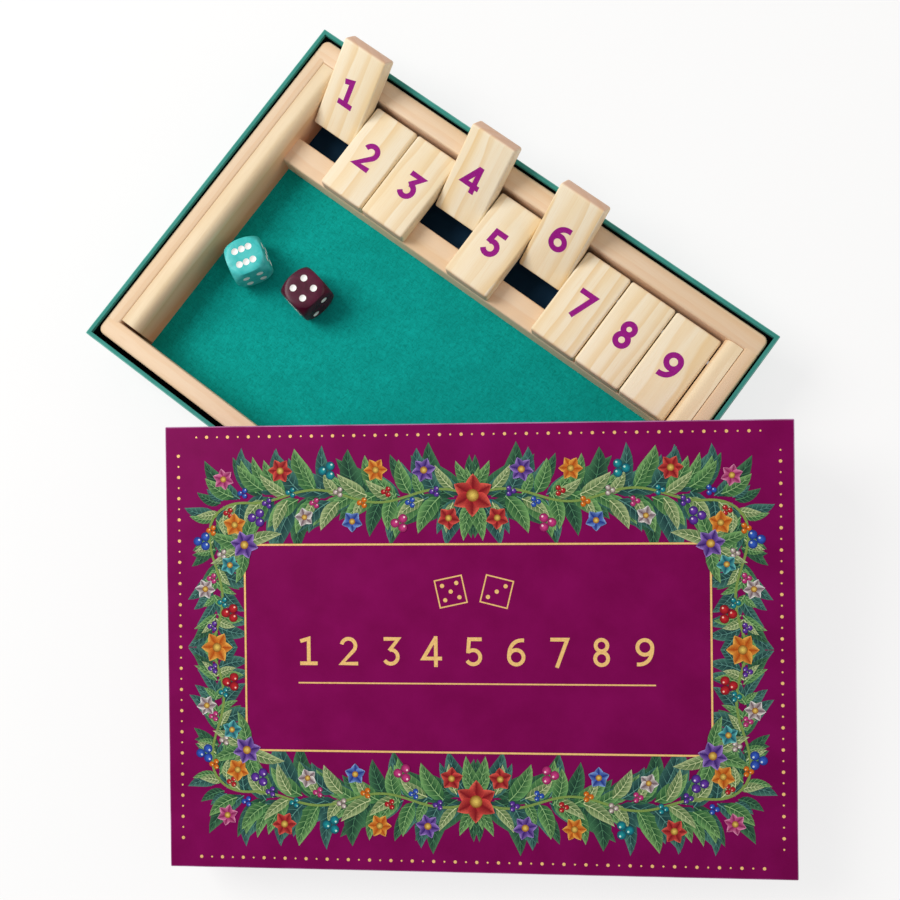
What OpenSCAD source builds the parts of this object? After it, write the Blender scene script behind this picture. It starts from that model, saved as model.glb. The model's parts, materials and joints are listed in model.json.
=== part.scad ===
// A number-tile dice game in a two-part set-up cardboard box.
// Millimetres, +Z up. The origin is the centre of the base box's underside,
// X runs along the long side, and the players sit on the -Y side.

/* [Base box] */
// Outside length of the base box
base_l = 227; // [215:1:240]
// Outside width of the base box
base_w = 161; // [155:1:185]
// Outside height of the base box
base_h = 27; // [25:0.5:34]
// Thickness of the grey board in the walls of the base and the lid
board_t = 1.3; // [1:0.1:1.8]
// Thickness of the paper glued over the board, outside and inside
paper_t = 0.25; // [0.2:0.05:0.3]

/* [Lid] */
// Outside height of the lid
lid_h = 27; // [22:0.5:30]
// Gap between the closed lid and the base, each side
lid_gap = 0.75; // [0.4:0.05:1.5]
// Turn of the opened lid, where it is laid across the base
lid_yaw = 36.87; // [34:0.5:40]
// How far the lid's end passes the place where it crosses the front rim
lid_end_over = 9; // [6:0.5:16]
// Gap between the laid lid and the rims that it rests on
lid_seat_gap = 0.05; // [0.05:0.05:0.2]
// Gap between the laid lid and the swing of the last tile
lid_swing_gap = 1; // [0.5:0.5:4]

/* [Wooden tray] */
// Gap between the tray and the box at the left and right
tray_gap_side = 0.7; // [0.3:0.1:1.5]
// Gap between the tray and the box at the front
tray_gap_front = 2.05; // [0.3:0.05:2.5]
// Gap between the tray and the box at the back
tray_gap_back = 0.95; // [0.3:0.05:2]
// Depth of the tray's top edge below the rim
tray_drop = 1.3; // [0.5:0.1:2.5]
// Thickness of the tray's floor
floor_t = 3.2; // [2.5:0.1:4]
// Width of the front frame strip
strip_front_w = 8.1; // [6:0.1:10]
// Width of the back frame strip
strip_back_w = 9.1; // [8:0.1:11]
// Width of the left and right frame strips
strip_side_w = 6.1; // [5:0.1:6.5]
// Radius of the tray's four upright corners
tray_corner_r = 3; // [1:0.5:4]
// Radius on the top edges of the frame strips
strip_edge_r = 1; // [0.4:0.1:1.5]
// Width of the cheeks
cheek_w = 7.9; // [6:0.1:10]
// Radius on the inner top edge of the cheeks
cheek_edge_r = 2.4; // [1:0.1:3]
// Gap between the cheeks and the front strip
cheek_front_gap = 1.1; // [0.5:0.1:2]
// Width of the slat that the lowered tiles rest on
slat_w = 11.5; // [9:0.5:13]
// Radius on the top edges of the slat
slat_edge_r = 0.9; // [0.4:0.1:1.5]
// Thickness of the felt on the tray's floor
felt_t = 1.2; // [0.8:0.1:1.6]
// Thickness of the black paper under the tiles
pit_paper_t = 0.3; // [0.2:0.05:0.4]

/* [Number tiles] */
// Gap between two tiles
tile_gap = 0.5; // [0.4:0.1:0.8]
// Gap between the end tiles and the cheeks
row_gap = 0.25; // [0.2:0.05:0.5]
// Length of a tile
tile_l = 39.4; // [36:0.1:41]
// Thickness of a tile
tile_t = 7.4; // [6.5:0.1:8]
// Depth of the lowered tiles' top face below the frame's top edge
tile_drop = 1.7; // [1:0.1:2.5]
// Radius on the tiles' edges
tile_edge_r = 1.1; // [0.5:0.1:1.5]
// Distance of the rod from a tile's rear end
rod_inset = 9.45; // [8.5:0.05:10]
// Gap between the lowered tiles' rear ends and the back strip
tail_gap = 1.9; // [1.7:0.1:3]
// Gap between a tile and what it rests on
tile_seat_gap = 0.05; // [0.05:0.05:0.1]
// Diameter of the rod that the tiles turn on
rod_d = 3; // [2.5:0.1:3.4]
// Gap round the rod inside a tile
rod_running_gap = 0.15; // [0.1:0.05:0.25]
// Gap round the rod inside a cheek
rod_seat_gap = 0.05; // [0.03:0.01:0.1]

/* [Dice] */
// Width of a die across its faces
die_size = 16; // [12:0.5:17]
// Radius of the ball that rounds a die's corners
die_ball_r = 11.1; // [10.6:0.1:12]
// Diameter of a pip
pip_d = 2.9; // [2:0.1:3]
// Depth of a pip
pip_depth = 0.45; // [0.3:0.05:0.8]
// Distance of the outer pips from the middle of a face
pip_pitch = 3; // [2.8:0.1:3.4]
// Gap between a die and the felt
die_seat_gap = 0.05; // [0.05:0.05:0.1]
// Place of the teal die from the felt's left and front edges
die_teal_at = [15, 52.5];
// Turn of the teal die
die_teal_turn = 58.6; // [0:0.1:90]
// Place of the plum die from the felt's left and front edges
die_plum_at = [44, 56];
// Turn of the plum die
die_plum_turn = -10.1; // [-45:0.1:45]

/* [Hidden] */
$fn = 64;
cut = 1;
tile_count = 9;
raised = [1, 4, 6];

wall = board_t + 2 * paper_t;
tray_l = base_l - 2 * (wall + tray_gap_side);
tray_w = base_w - 2 * wall - tray_gap_front - tray_gap_back;
tray_x = tray_l / 2;
tray_front = -base_w / 2 + wall + tray_gap_front;
tray_back = tray_front + tray_w;
tray_top = base_h - tray_drop;
floor_top = wall + floor_t;
well_front = tray_front + strip_front_w;
strip_back_face = tray_back - strip_back_w;
strip_side_face = tray_x - strip_side_w;

cheek_face = strip_side_face - cheek_w;
cheek_l = strip_back_face - well_front - cheek_front_gap;

// The row of tiles fills the space between the two cheeks.
row_l = 2 * (cheek_face - row_gap);
tile_pitch = row_l / tile_count;
tile_w = tile_pitch - tile_gap;
tile_reach = tile_l - rod_inset;
tile_bottom = tray_top - tile_drop - tile_t;
rod_y = strip_back_face - tail_gap - rod_inset;
rod_z = tile_bottom + tile_t / 2;
slat_front = rod_y - tile_reach;
slat_top = tile_bottom - tile_seat_gap;

// A raised tile leans on the rounded front edge of the back strip. Its
// mid-plane passes that edge's centre at half a tile, a gap and a radius.
lean_dy = strip_back_face + strip_edge_r - rod_y;
lean_dz = tray_top - strip_edge_r - rod_z;
lean_off = tile_t / 2 + tile_seat_gap + strip_edge_r;
tile_lean = atan2(lean_dz, lean_dy) + asin(lean_off / norm([lean_dy, lean_dz]));
tile_flip = 180 - tile_lean;

felt_left = -cheek_face;
felt_w = slat_front - well_front;
felt_top = floor_top + felt_t;

lid_l = base_l + 2 * (lid_gap + wall);
lid_w = base_w + 2 * (lid_gap + wall);
// The laid lid rests on the table with its near wall and on the rims with its
// far wall. The far wall stays outside the swing of the last tile.
lid_tilt = asin((base_h + lid_seat_gap) / (lid_w - wall));
swing_r = norm([tile_reach, tile_t / 2]);
swing_y = rod_y - sqrt(pow(swing_r, 2) - pow(base_h - rod_z, 2));
lid_cross_x = row_l / 2 - (swing_y - lid_swing_gap + base_w / 2) / tan(lid_yaw);

// Box with its lowest corner at a and its highest corner at b
module block(a, b) {
    translate(a) cube(b - a);
}

// Flat rectangle from a to b with its four corners rounded
module round_rect(a, b, r) {
    translate([a.x + r, a.y]) square([b.x - a.x - 2 * r, b.y - a.y]);
    translate([a.x, a.y + r]) square([b.x - a.x, b.y - a.y - 2 * r]);
    for (x = [a.x + r, b.x - r], y = [a.y + r, b.y - r])
        translate([x, y]) circle(r);
}

// Stretches a flat shape drawn in Y and Z along X, from x0 to x1
module along_x(x0, x1) {
    translate([x0, 0, 0]) rotate([90, 0, 90]) linear_extrude(x1 - x0) children();
}

// Stretches a flat shape drawn in X and Z along Y, from y0 to y1
module along_y(y0, y1) {
    translate([0, y1, 0]) rotate([90, 0, 0]) linear_extrude(y1 - y0) children();
}

// ---- Set-up box: board, outer paper and inner paper, open upwards ----

// Rectangular block centred on the origin in plan, inset from the outside
module inset_block(l, w, inset, z0, z1) {
    block([-l / 2 + inset, -w / 2 + inset, z0], [l / 2 - inset, w / 2 - inset, z1]);
}

module shell_board(l, w, h) {
    difference() {
        inset_block(l, w, paper_t, paper_t, h - paper_t);
        inset_block(l, w, paper_t + board_t, paper_t + board_t, h + cut);
    }
}

// Outer paper, turned over the board's edge
module shell_wrap(l, w, h) {
    difference() {
        inset_block(l, w, 0, 0, h);
        inset_block(l, w, paper_t, paper_t, h - paper_t);
        inset_block(l, w, paper_t + board_t, h / 2, h + cut);
    }
}

module shell_liner(l, w, h) {
    difference() {
        inset_block(l, w, paper_t + board_t, paper_t + board_t, h);
        inset_block(l, w, wall, wall, h + cut);
    }
}

module base_board() {
    color("#8c857b") shell_board(base_l, base_w, base_h);
}

module base_wrap() {
    color("#4f958c") shell_wrap(base_l, base_w, base_h);
}

module base_liner() {
    color("#16171a") shell_liner(base_l, base_w, base_h);
}

// Lays the lid across the front and right rims, open side down
module lay_lid() {
    translate([lid_cross_x, -base_w / 2, 0]) rotate([0, 0, lid_yaw])
        translate([lid_l / 2 - lid_end_over, -lid_w / 2 * cos(lid_tilt), lid_w / 2 * sin(lid_tilt)])
            rotate([lid_tilt, 0, 0])
                translate([0, 0, lid_h]) rotate([180, 0, 0]) children();
}

module lid_board() {
    color("#8c857b") lay_lid() shell_board(lid_l, lid_w, lid_h);
}

module lid_wrap() {
    color("#7a1450") lay_lid() shell_wrap(lid_l, lid_w, lid_h);
}

module lid_liner() {
    color("#16171a") lay_lid() shell_liner(lid_l, lid_w, lid_h);
}

// ---- Wooden tray ----

// Upright block over the tray's outline, with its outer corners rounded
module tray_outline(z0, z1) {
    translate([0, 0, z0]) linear_extrude(z1 - z0)
        round_rect([-tray_x, tray_front], [tray_x, tray_back], tray_corner_r);
}

// Frame strip across the tray's whole length, between y0 and y1
module long_strip(y0, y1) {
    color("#e8cfa6") intersection() {
        tray_outline(floor_top, tray_top);
        along_x(-tray_x, tray_x) difference() {
            round_rect([y0, floor_top - strip_edge_r * 2], [y1, tray_top], strip_edge_r);
            translate([y0 - cut, floor_top - strip_edge_r * 2 - cut])
                square([y1 - y0 + 2 * cut, strip_edge_r * 2 + cut]);
        }
    }
}

// Frame strip between the two long ones, on the side given by its sign
module side_strip(side) {
    x0 = side > 0 ? strip_side_face : -tray_x;
    color("#e8cfa6") along_y(well_front, strip_back_face) difference() {
        round_rect([x0, floor_top - strip_edge_r * 2], [x0 + strip_side_w, tray_top], strip_edge_r);
        translate([x0 - cut, floor_top - strip_edge_r * 2 - cut])
            square([strip_side_w + 2 * cut, strip_edge_r * 2 + cut]);
    }
}

// Cheek beside the tiles, which holds one end of the rod
module cheek(side) {
    y0 = well_front + cheek_front_gap;
    color("#e6cba0") difference() {
        mirror([side > 0 ? 0 : 1, 0, 0]) along_y(y0, y0 + cheek_l) union() {
            translate([cheek_face, floor_top]) square([cheek_w, tray_top - floor_top - cheek_edge_r]);
            translate([cheek_face + cheek_edge_r, floor_top])
                square([cheek_w - cheek_edge_r, tray_top - floor_top]);
            translate([cheek_face + cheek_edge_r, tray_top - cheek_edge_r]) circle(cheek_edge_r);
        }
        rod_cylinder(rod_d / 2 + rod_seat_gap, strip_side_face + cut);
    }
}

module tray_floor() {
    color("#d9bd92") tray_outline(wall, floor_top);
}

module frame_front() {
    long_strip(tray_front, well_front);
}

module frame_back() {
    long_strip(strip_back_face, tray_back);
}

module frame_left() {
    side_strip(-1);
}

module frame_right() {
    side_strip(1);
}

module cheek_left() {
    cheek(-1);
}

module cheek_right() {
    cheek(1);
}

// Slat across the tray, under the front ends of the lowered tiles
module tile_slat() {
    color("#e6c79a") along_x(-cheek_face, cheek_face) difference() {
        round_rect([slat_front, floor_top - slat_edge_r * 2], [slat_front + slat_w, slat_top], slat_edge_r);
        translate([slat_front - cut, floor_top - slat_edge_r * 2 - cut])
            square([slat_w + 2 * cut, slat_edge_r * 2 + cut]);
    }
}

module felt_pad() {
    color("#12998c") block([-cheek_face, well_front, floor_top], [cheek_face, slat_front, felt_top]);
}

module pit_paper() {
    color("#0d1116") block(
        [-cheek_face, slat_front + slat_w, floor_top],
        [cheek_face, strip_back_face, floor_top + pit_paper_t]
    );
}

// ---- Number tiles on their rod ----

module rod_cylinder(r, half_l) {
    translate([-half_l, rod_y, rod_z]) rotate([0, 90, 0]) cylinder(r = r, h = 2 * half_l);
}

module tile_rod() {
    color("silver") rod_cylinder(rod_d / 2, strip_side_face);
}

// Tile round its own pivot, lying flat with its long end towards the players
module tile_block() {
    difference() {
        intersection() {
            along_x(-tile_w / 2, tile_w / 2)
                round_rect([-tile_reach, -tile_t / 2], [rod_inset, tile_t / 2], tile_edge_r);
            translate([0, 0, -tile_t]) linear_extrude(2 * tile_t)
                round_rect([-tile_w / 2, -tile_reach], [tile_w / 2, rod_inset], tile_edge_r);
        }
        translate([-tile_w, 0, 0]) rotate([0, 90, 0])
            cylinder(r = rod_d / 2 + rod_running_gap, h = 2 * tile_w);
    }
}

module tile(i) {
    up = len(search(i, raised)) > 0;
    color("#efdcb8")
        translate([(i - (tile_count + 1) / 2) * tile_pitch, rod_y, rod_z])
            rotate([up ? -tile_flip : 0, 0, 0]) tile_block();
}

// ---- Dice ----

// Places of the pips for the number n, in steps from the middle of the face
function pip_places(n) = concat(
    n % 2 == 1 ? [[0, 0]] : [],
    n > 1 ? [[-1, -1], [1, 1]] : [],
    n > 3 ? [[-1, 1], [1, -1]] : [],
    n == 6 ? [[0, -1], [0, 1]] : []
);

// Turns that bring the top face to the top, front, right, back, left and bottom
FACE_TURNS = [[0, 0, 0], [90, 0, 0], [90, 0, 90], [90, 0, 180], [90, 0, 270], [180, 0, 0]];

// Die standing on z = 0, with the numbers of its six faces
module die(faces) {
    translate([0, 0, die_size / 2]) difference() {
        intersection() {
            cube(die_size, center = true);
            sphere(die_ball_r);
        }
        for (f = [0:5]) rotate(FACE_TURNS[f]) for (p = pip_places(faces[f]))
            translate([p.x * pip_pitch, p.y * pip_pitch, die_size / 2 - pip_depth])
                cylinder(d = pip_d, h = pip_depth + cut);
    }
}

module place_die(at, turn) {
    translate([felt_left + at.x, well_front + at.y, felt_top + die_seat_gap]) rotate([0, 0, turn]) children();
}

module die_teal() {
    color("#48bdb2") place_die(die_teal_at, die_teal_turn) die([6, 4, 5, 3, 2, 1]);
}

module die_plum() {
    color("#5c1733") place_die(die_plum_at, die_plum_turn) die([4, 6, 2, 1, 5, 3]);
}

base_board();
base_wrap();
base_liner();
tray_floor();
frame_front();
frame_back();
frame_left();
frame_right();
cheek_left();
cheek_right();
tile_slat();
felt_pad();
pit_paper();
tile_rod();
for (i = [1:tile_count]) tile(i);
die_teal();
die_plum();
lid_board();
lid_wrap();
lid_liner();
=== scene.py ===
# %% [markdown]
# # A flip-tile dice game in a paper-covered box
#
# The real object is a shallow cardboard box with a wooden tray in it. The tray has a
# felt-covered well for two dice, and a row of nine numbered tiles that flip over on a
# hidden steel rod. The printed lid lies across one corner of the box.
# Every size and joint is fixed already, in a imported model. This script loads it and
# gives each piece the shape and finish that the eye expects, one piece at a time.

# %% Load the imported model
import json
import math
import random

import bmesh
import bpy
from mathutils import Euler, Matrix, Vector
from mathutils.geometry import interpolate_bezier

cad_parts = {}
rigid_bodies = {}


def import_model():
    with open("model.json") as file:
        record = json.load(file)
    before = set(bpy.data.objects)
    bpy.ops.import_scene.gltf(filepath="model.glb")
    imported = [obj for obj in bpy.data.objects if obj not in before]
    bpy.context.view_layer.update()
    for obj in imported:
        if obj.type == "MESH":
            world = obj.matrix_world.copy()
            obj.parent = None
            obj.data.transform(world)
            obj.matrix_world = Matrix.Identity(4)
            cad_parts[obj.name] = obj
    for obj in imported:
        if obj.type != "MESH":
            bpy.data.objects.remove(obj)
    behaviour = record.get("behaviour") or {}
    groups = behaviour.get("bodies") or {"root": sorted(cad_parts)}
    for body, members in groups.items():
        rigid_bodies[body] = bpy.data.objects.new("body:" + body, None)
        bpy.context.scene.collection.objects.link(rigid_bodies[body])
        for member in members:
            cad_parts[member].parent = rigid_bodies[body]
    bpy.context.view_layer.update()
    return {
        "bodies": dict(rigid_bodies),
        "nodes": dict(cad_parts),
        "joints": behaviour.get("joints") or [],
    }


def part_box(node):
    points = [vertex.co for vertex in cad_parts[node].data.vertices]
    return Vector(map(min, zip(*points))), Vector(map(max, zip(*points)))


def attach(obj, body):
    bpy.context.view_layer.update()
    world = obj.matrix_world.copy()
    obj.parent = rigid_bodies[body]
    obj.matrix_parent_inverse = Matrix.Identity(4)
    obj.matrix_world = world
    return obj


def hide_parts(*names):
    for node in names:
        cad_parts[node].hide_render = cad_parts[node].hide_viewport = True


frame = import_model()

MM = 0.001
joints = {joint["name"]: joint for joint in frame["joints"]}

# %% [markdown]
# ## The camera
#
# The camera stands high over the table and looks almost straight down, turned so that
# the lid reads level and the box runs away at an angle. A camera could be aimed with
# a constraint. Three axes worked out one by one are plainer: back, right and up.

# %% Aim the camera
EYE = Vector((0.1146, -0.0623, 0.4787))
LOOK_AT = Vector((0.0356, -0.0302, 0.020))
PICTURE_UP = math.radians(127.10)
LENS = 47.06


def aimed(eye, target, up_heading):
    """Matrix of a camera at eye that looks at target, with the picture's up along a heading."""
    back = (eye - target).normalized()
    up_hint = Vector((math.cos(up_heading), math.sin(up_heading), 0))
    right = up_hint.cross(back).normalized()
    turn = Matrix((right, back.cross(right), back)).transposed()
    return Matrix.Translation(eye) @ turn.to_4x4()


scene = bpy.context.scene
camera_data = bpy.data.cameras.new("camera")
camera_data.lens = LENS
camera = bpy.data.objects.new("camera", camera_data)
camera.matrix_world = aimed(EYE, LOOK_AT, PICTURE_UP)
scene.collection.objects.link(camera)
scene.camera = camera
scene.view_settings.view_transform = "Standard"
print("camera", round((EYE - LOOK_AT).length, 3), "m from the lid")

# %% [markdown]
# ## Colours and shader nodes
#
# Colours are written as a designer would pick them on a screen, in sRGB, and shaders
# want linear values, so one function converts them. A second function adds a shader
# node, sets it up and joins its sockets, which keeps each recipe short.

# %% Helpers for colours, nodes and materials
PURE_WHITE = (1, 1, 1, 1)


def srgb(code):
    """Linear colour from an sRGB hex code."""
    parts = [int(code[i : i + 2], 16) / 255 for i in (1, 3, 5)]
    linear = [c / 12.92 if c <= 0.04045 else ((c + 0.055) / 1.055) ** 2.4 for c in parts]
    return (*linear, 1.0)


def add(tree, kind, sockets=None, **settings):
    """Adds one shader node to a tree. A socket takes a value or another node's output."""
    made = tree.nodes.new("ShaderNode" + kind)
    for name, value in settings.items():
        setattr(made, name, value)
    for socket, value in (sockets or {}).items():
        if isinstance(value, bpy.types.NodeSocket):
            tree.links.new(value, made.inputs[socket])
        else:
            made.inputs[socket].default_value = value
    return made


def new_material(name, colour, roughness, **values):
    """A material, its node tree and its Principled shader, whose sockets take the values."""
    material = bpy.data.materials.new(name)
    material.use_nodes = True
    shader = material.node_tree.nodes["Principled BSDF"]
    shader.inputs["Base Color"].default_value = srgb(colour)
    shader.inputs["Roughness"].default_value = roughness
    for socket, value in values.items():
        shader.inputs[socket.replace("_", " ")].default_value = value
    return material, material.node_tree, shader


def feed(shader, socket, output):
    """Joins an output to a socket of the shader."""
    shader.id_data.links.new(output, shader.inputs[socket])


def scaled(tree, coordinates, x, y, z):
    """Coordinates stretched by a factor on each axis."""
    return add(tree, "VectorMath", {0: coordinates, 1: (x, y, z)}, operation="MULTIPLY").outputs[0]


def place_mm(tree):
    """The piece's own coordinates, in millimetres."""
    place = add(tree, "TexCoord").outputs["Object"]
    return scaled(tree, place, 1 / MM, 1 / MM, 1 / MM)


def noise(tree, place, scale, detail, output=0, **more):
    """A noise pattern, whose first output is its value and whose second is its colour."""
    sockets = {"Vector": place, "Scale": scale, "Detail": detail, **more}
    return add(tree, "TexNoise", sockets).outputs[output]


def reckoned(tree, operation, *values):
    """The result of one sum on shader values."""
    return add(tree, "Math", dict(enumerate(values)), operation=operation).outputs[0]


def blended(tree, factor, first, second, mode="MIX"):
    """One colour over another, by a factor."""
    sockets = {"Fac": factor, "Color1": first, "Color2": second}
    return add(tree, "MixRGB", sockets, blend_type=mode).outputs[0]


def spread(tree, value, low, high, to_low, to_high):
    """A value between low and high, stretched to run from to_low to to_high."""
    ends = {"Value": value, "From Min": low, "From Max": high, "To Min": to_low, "To Max": to_high}
    return add(tree, "MapRange", ends).outputs[0]


def layered(tree, under, code, value, low, high, most=1.0):
    """A colour laid over the one under it, from none where a value is low to most where high."""
    return blended(tree, spread(tree, value, low, high, 0, most), under, srgb(code))


def bumped(shader, height, strength, depth_mm):
    sockets = {"Height": height, "Strength": strength, "Distance": depth_mm * MM}
    feed(shader, "Normal", add(shader.id_data, "Bump", sockets).outputs[0])


print("violet ink, linear:", [round(c, 3) for c in srgb("#8F157D")])

# %% [markdown]
# ## Light and floor
#
# The box stands in plain soft light: a large softbox to the upper left of the picture,
# a weak low one across from it, and a pale room all round. A brighter room alone would
# fill the well as well. The low lamp lights only the walls that face away from the
# first. To the camera the floor is mostly plain white, so its shadow stays faint.

# %% Softboxes, room and floor
ROOM_LIGHT = 0.42
LAMP_DISTANCE = 1.3
FLOOR_GLOW = 0.72
FLOOR_WHITE = 1.06
FLOOR_SIZE = 3
FLOOR_DROP = 0.02 * MM


def seen_directly(tree):
    """1 for the camera's own rays and for rays off shiny or through clear things."""
    path = add(tree, "LightPath").outputs
    shiny = reckoned(tree, "MAXIMUM", path["Is Glossy Ray"], path["Is Transmission Ray"])
    return reckoned(tree, "MAXIMUM", path["Is Camera Ray"], shiny)


def mixed(tree, share, first, second, end):
    """Ends a tree with a mix of two shader nodes."""
    sockets = {0: share, 1: first.outputs[0], 2: second.outputs[0]}
    add(tree, end, {"Surface": add(tree, "MixShader", sockets).outputs[0]})


def placed(name, shape, material):
    """Turns a bmesh into an object of the scene."""
    data = bpy.data.meshes.new(name)
    shape.to_mesh(data)
    shape.free()
    data.materials.append(material)
    made = bpy.data.objects.new(name, data)
    scene.collection.objects.link(made)
    return made


def softbox(name, heading, height, size, power, colour):
    """A square lamp that looks at the box from a heading and a height in degrees."""
    data = bpy.data.lights.new(name, "AREA")
    data.size = size
    data.energy = power
    data.color = srgb(colour)[:3]
    lamp = bpy.data.objects.new(name, data)
    turn = Euler((0, -math.radians(height), math.radians(heading))).to_matrix()
    lamp.matrix_world = aimed(turn @ Vector((LAMP_DISTANCE, 0, 0)), Vector(), 0)
    scene.collection.objects.link(lamp)


softbox("key softbox", heading=196, height=47, size=0.7, power=12.6, colour="#FFFBF6")
softbox("fill softbox", heading=42, height=24, size=0.6, power=1.7, colour="#FFE6D2")

world = bpy.data.worlds.new("pale room")
world.use_nodes = True
sky = world.node_tree
sky.nodes.clear()
lit = add(sky, "Background", {"Color": PURE_WHITE, "Strength": ROOM_LIGHT})
shown = add(sky, "Background", {"Color": PURE_WHITE, "Strength": 1.0})
mixed(sky, seen_directly(sky), lit, shown, "OutputWorld")
scene.world = world

floor_material = bpy.data.materials.new("white paper floor")
floor_material.use_nodes = True
ground = floor_material.node_tree
ground.nodes.clear()
matt = add(ground, "BsdfDiffuse", {"Color": srgb("#E9E9E9")})
white = add(ground, "Emission", {"Strength": FLOOR_WHITE})
share = reckoned(ground, "MULTIPLY", seen_directly(ground), FLOOR_GLOW)
mixed(ground, share, matt, white, "OutputMaterial")

floor_shape = bmesh.new()
bmesh.ops.create_grid(floor_shape, x_segments=1, y_segments=1, size=FLOOR_SIZE)
floor = placed("floor", floor_shape, floor_material)
floor.location.z = -FLOOR_DROP

# %% [markdown]
# ## Making a piece
#
# Every new piece starts as a bmesh, gets its soft edges by bevels, and then stands in
# for the plain solid of the imported model. Its object stays at the origin and its place
# is in its mesh, so a pattern in object coordinates stays where it belongs if the
# piece is exported.

# %% Helpers for shapes and pieces
NEAR = 0.01 * MM
CREASE = math.radians(40)


def cuboid(low, high):
    """A bmesh box between two corners."""
    shape = bmesh.new()
    place = Matrix.Translation((low + high) / 2) @ Matrix.Diagonal((*(high - low), 1))
    bmesh.ops.create_cube(shape, size=1, matrix=place)
    return shape


def soften(shape, radius_mm, segments, chosen=lambda a, b: True):
    """Bevels the edges between two corners a and b that the choice picks."""
    edges = [e for e in shape.edges if chosen(e.verts[0].co, e.verts[1].co)]
    settings = {"profile": 0.5, "affect": "EDGES", "material": -1, "clamp_overlap": True}
    bmesh.ops.bevel(shape, geom=edges, offset=radius_mm * MM, segments=segments, **settings)
    return shape


def near(a, b):
    return abs(a - b) < NEAR


def upright(a, b):
    """Whether an edge between corners a and b runs straight up."""
    return near(a.x, b.x) and near(a.y, b.y)


def level_at(a, b, z):
    """Whether an edge between corners a and b lies level at height z."""
    return near(a.z, z) and near(b.z, z)


def smoothed(data, crease):
    """Shades a mesh smooth, except at edges sharper than the crease."""
    data.polygons.foreach_set("use_smooth", [True] * len(data.polygons))
    data.set_sharp_from_angle(angle=crease)


def make_piece(name, shape, body, material, nodes=(), place=Matrix()):
    """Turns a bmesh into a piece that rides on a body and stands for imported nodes."""
    bmesh.ops.transform(shape, matrix=place, verts=shape.verts)
    piece = placed(name, shape, material)
    smoothed(piece.data, CREASE)
    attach(piece, body)
    if nodes:
        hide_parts(*nodes)
    print(name, len(piece.data.polygons), "faces on", body)
    return piece


# %% [markdown]
# ## Pine
#
# The tray and tiles are planed pine, sanded and thinly sealed. What the eye reads is
# the growth rings: cream early wood that warms slowly and ends in a narrow amber line.
# A flat stripe pattern would not turn the corner of a block. So each piece carries a
# grain coordinate in millimetres, with its first axis along the fibres and its origin
# at the heart of an imagined tree, and the rings are distances from that heart.


# %% Grain coordinates on a wooden piece
X_AXIS, Y_AXIS, UPWARDS = Matrix.Identity(3)


def add_grain(shape, along, heart_mm):
    """Stores where each corner lies in its tree, and how far each face shows end grain."""
    axes = [along, UPWARDS.cross(along), UPWARDS]
    grain = shape.verts.layers.float_vector.new("grain")
    for vert in shape.verts:
        place = Vector([axis.dot(vert.co) / MM for axis in axes])
        vert[grain] = place + heart_mm
    end = shape.faces.layers.float.new("end_grain")
    shape.normal_update()
    for face in shape.faces:
        face[end] = abs(face.normal.dot(along)) ** 3


def heart(chance):
    """A place for the tree's heart: below the board and well to one side."""
    side = chance.choice((-1, 1)) * chance.uniform(14, 34)
    return Vector((chance.uniform(0, 900), side, chance.uniform(16, 42)))


wood_chance = random.Random(11)
print("grain along", X_AXIS, "or", Y_AXIS)

# %% [markdown]
# The pine recipe has four layers: the ring colour, a slow warm drift along the board,
# fine fibres that also roughen the surface, and browner end grain, which drinks more
# seal than the faces do. The tray's strips come from darker stock than the tiles. The
# cheeks also get painted shade: a warm dark tone that grows towards their bottom.

# %% Pine material
# Painted shade low on the cheeks: the millimetres over which it fades in, and its warm dark colour.
PAINTED_SHADE_FADE = 15
PAINTED_WARM_SHADE = "#F29A6B"
RING_STOPS = ((0.4, 0.1), (0.78, 0.8), (0.9, 1.0))


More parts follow.
